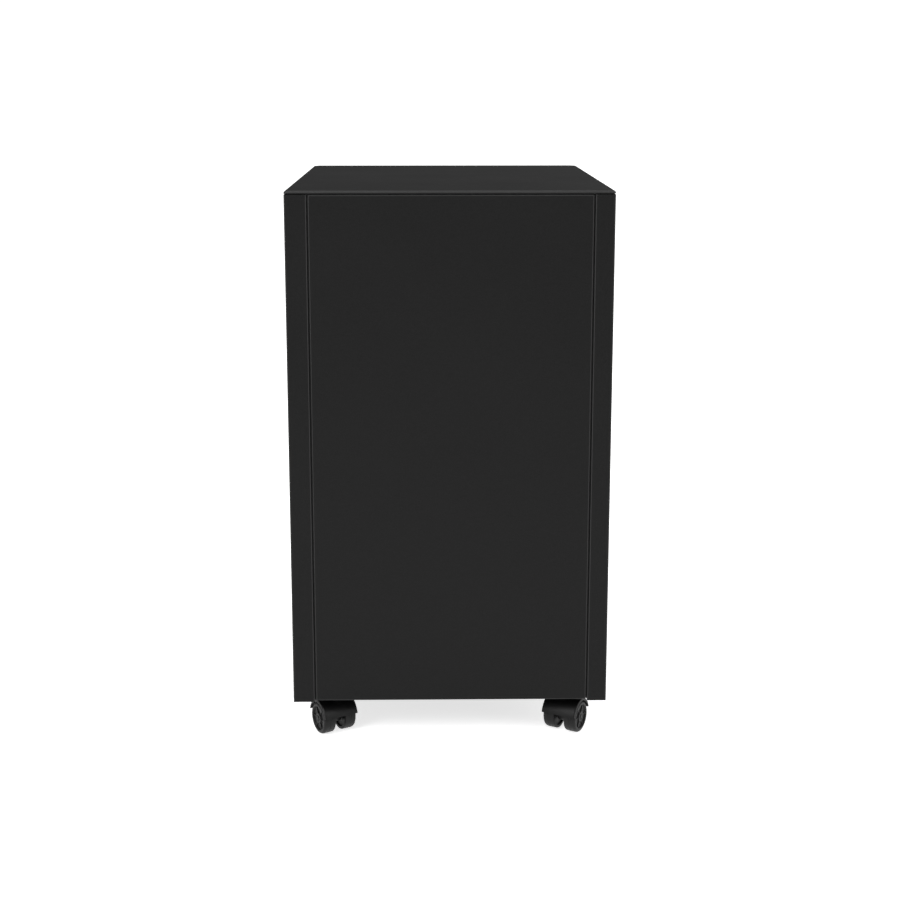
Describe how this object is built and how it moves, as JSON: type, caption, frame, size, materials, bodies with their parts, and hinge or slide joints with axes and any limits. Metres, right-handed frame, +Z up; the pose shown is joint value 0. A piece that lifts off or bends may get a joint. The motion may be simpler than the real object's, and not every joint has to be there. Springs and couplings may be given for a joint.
{
  "type": "rolling pedestal cabinet",
  "caption": "Folded-steel rolling pedestal with stacked drawers, recessed pulls, a central key lock and swivel casters.",
  "frame": {"origin": "centre of the cabinet's footprint, on the floor", "axes": "+Z up, +Y towards the closed back panel, -Y towards the drawer fronts, +X to the right seen from the front"},
  "size_m": [0.39, 0.5, 0.687],
  "materials": {
    "powder_coat": "satin",
    "zinc_plated_steel": "satin",
    "chrome": "polished",
    "black_plastic": "satin",
    "wheel_nylon": "satin"
  },
  "bodies": {
    "case": {"top_panel": "powder_coat", "side_panel_left": "powder_coat", "side_panel_right": "powder_coat", "back_panel": "powder_coat", "bottom_panel": "powder_coat", "top_rail": "powder_coat", "base_rail": "powder_coat", "upright_front_left": "zinc_plated_steel", "upright_front_right": "zinc_plated_steel", "upright_rear_left": "zinc_plated_steel", "upright_rear_right": "zinc_plated_steel", "top_slide_outer_left": "zinc_plated_steel", "top_slide_outer_right": "zinc_plated_steel", "middle_slide_outer_left": "zinc_plated_steel", "middle_slide_outer_right": "zinc_plated_steel", "file_slide_outer_left": "zinc_plated_steel", "file_slide_outer_right": "zinc_plated_steel", "lock_housing": "chrome", "caster_plate_rear_right": "zinc_plated_steel", "caster_plate_rear_left": "zinc_plated_steel", "caster_plate_front_right": "zinc_plated_steel", "caster_plate_front_left": "zinc_plated_steel"},
    "top_drawer": {"top_front": "powder_coat", "top_tray": "powder_coat", "top_pull": "black_plastic", "top_slide_inner_left": "zinc_plated_steel", "top_slide_inner_right": "zinc_plated_steel"},
    "middle_drawer": {"middle_front": "powder_coat", "middle_tray": "powder_coat", "middle_pull": "black_plastic", "middle_slide_inner_left": "zinc_plated_steel", "middle_slide_inner_right": "zinc_plated_steel"},
    "file_drawer": {"file_front": "powder_coat", "file_tray": "powder_coat", "file_pull": "black_plastic", "file_slide_inner_left": "zinc_plated_steel", "file_slide_inner_right": "zinc_plated_steel", "file_rail_left": "zinc_plated_steel", "file_rail_right": "zinc_plated_steel"},
    "file_slide_mid": {"file_slide_mid_left": "zinc_plated_steel", "file_slide_mid_right": "zinc_plated_steel"},
    "pen_tray": {"pen_tray": "black_plastic"},
    "lock_plug": {"lock_plug": "chrome", "lock_cam": "zinc_plated_steel"},
    "lock_bar": {"lock_bar": "zinc_plated_steel"},
    "caster_rear_right": {"caster_hood_rear_right": "black_plastic"},
    "wheel_rear_right_right": {"wheel_rear_right_right": "wheel_nylon"},
    "wheel_rear_right_left": {"wheel_rear_right_left": "wheel_nylon"},
    "caster_rear_left": {"caster_hood_rear_left": "black_plastic"},
    "wheel_rear_left_right": {"wheel_rear_left_right": "wheel_nylon"},
    "wheel_rear_left_left": {"wheel_rear_left_left": "wheel_nylon"},
    "caster_front_right": {"caster_hood_front_right": "black_plastic"},
    "wheel_front_right_right": {"wheel_front_right_right": "wheel_nylon"},
    "wheel_front_right_left": {"wheel_front_right_left": "wheel_nylon"},
    "brake_lever_front_right": {"brake_lever_front_right": "black_plastic"},
    "caster_front_left": {"caster_hood_front_left": "black_plastic"},
    "wheel_front_left_right": {"wheel_front_left_right": "wheel_nylon"},
    "wheel_front_left_left": {"wheel_front_left_left": "wheel_nylon"},
    "brake_lever_front_left": {"brake_lever_front_left": "black_plastic"}
  },
  "joints": [
    {"name": "top_drawer_slide", "type": "slide", "parent": "case", "child": "top_drawer", "axis": [0, -1, 0], "range_m": [0, 0.33]},
    {"name": "middle_drawer_slide", "type": "slide", "parent": "case", "child": "middle_drawer", "axis": [0, -1, 0], "range_m": [0, 0.33]},
    {"name": "file_drawer_slide", "type": "slide", "parent": "case", "child": "file_drawer", "axis": [0, -1, 0], "range_m": [0, 0.43]},
    {"name": "file_slide_extend", "type": "slide", "parent": "case", "child": "file_slide_mid", "axis": [0, -1, 0], "range_m": [0, 0.215]},
    {"name": "pen_tray_slide", "type": "slide", "parent": "top_drawer", "child": "pen_tray", "axis": [0, 1, 0], "range_m": [0, 0.3]},
    {"name": "lock_turn", "type": "hinge", "parent": "case", "child": "lock_plug", "pos_m": [0.15, -0.2498, 0.667], "axis": [0, 1, 0], "range_deg": [0, 90]},
    {"name": "lock_bar_drop", "type": "slide", "parent": "case", "child": "lock_bar", "axis": [0, 0, -1], "range_m": [0, 0.01414]},
    {"name": "caster_rear_right_swivel", "type": "hinge", "parent": "case", "child": "caster_rear_right", "pos_m": [0.154, 0.204, 0.05], "axis": [0, 0, 1], "continuous": true},
    {"name": "wheel_rear_right_right_roll", "type": "hinge", "parent": "caster_rear_right", "child": "wheel_rear_right_right", "pos_m": [0.13494, 0.20801, 0.02], "axis": [-0.866, -0.5, 0], "continuous": true},
    {"name": "wheel_rear_right_left_roll", "type": "hinge", "parent": "caster_rear_right", "child": "wheel_rear_right_left", "pos_m": [0.16006, 0.22251, 0.02], "axis": [-0.866, -0.5, 0], "continuous": true},
    {"name": "caster_rear_left_swivel", "type": "hinge", "parent": "case", "child": "caster_rear_left", "pos_m": [-0.154, 0.204, 0.05], "axis": [0, 0, 1], "continuous": true},
    {"name": "wheel_rear_left_right_roll", "type": "hinge", "parent": "caster_rear_left", "child": "wheel_rear_left_right", "pos_m": [-0.16006, 0.22251, 0.02], "axis": [-0.866, 0.5, 0], "continuous": true},
    {"name": "wheel_rear_left_left_roll", "type": "hinge", "parent": "caster_rear_left", "child": "wheel_rear_left_left", "pos_m": [-0.13494, 0.20801, 0.02], "axis": [-0.866, 0.5, 0], "continuous": true},
    {"name": "caster_front_right_swivel", "type": "hinge", "parent": "case", "child": "caster_front_right", "pos_m": [0.154, -0.204, 0.05], "axis": [0, 0, 1], "continuous": true},
    {"name": "wheel_front_right_right_roll", "type": "hinge", "parent": "caster_front_right", "child": "wheel_front_right_right", "pos_m": [0.1734, -0.20566, 0.02], "axis": [0.7986, 0.6018, 0], "continuous": true},
    {"name": "wheel_front_right_left_roll", "type": "hinge", "parent": "caster_front_right", "child": "wheel_front_right_left", "pos_m": [0.15024, -0.22311, 0.02], "axis": [0.7986, 0.6018, 0], "continuous": true},
    {"name": "brake_lever_front_right_press", "type": "hinge", "parent": "caster_front_right", "child": "brake_lever_front_right", "pos_m": [0.17115, -0.22676, 0.02], "axis": [0.7986, 0.6018, 0], "range_deg": [0, 12]},
    {"name": "caster_front_left_swivel", "type": "hinge", "parent": "case", "child": "caster_front_left", "pos_m": [-0.154, -0.204, 0.05], "axis": [0, 0, 1], "continuous": true},
    {"name": "wheel_front_left_right_roll", "type": "hinge", "parent": "caster_front_left", "child": "wheel_front_left_right", "pos_m": [-0.15058, -0.22317, 0.02], "axis": [0.788, -0.6157, 0], "continuous": true},
    {"name": "wheel_front_left_left_roll", "type": "hinge", "parent": "caster_front_left", "child": "wheel_front_left_left", "pos_m": [-0.17343, -0.20532, 0.02], "axis": [0.788, -0.6157, 0], "continuous": true},
    {"name": "brake_lever_front_left_press", "type": "hinge", "parent": "caster_front_left", "child": "brake_lever_front_left", "pos_m": [-0.17155, -0.22646, 0.02], "axis": [0.788, -0.6157, 0], "range_deg": [0, 12]}
  ],
  "couplings": [
    {"joint": "file_slide_extend", "follows": "file_drawer_slide", "ratio": 0.5},
    {"joint": "lock_turn", "follows": "lock_bar_drop", "rad_per_m": 111.07}
  ]
}
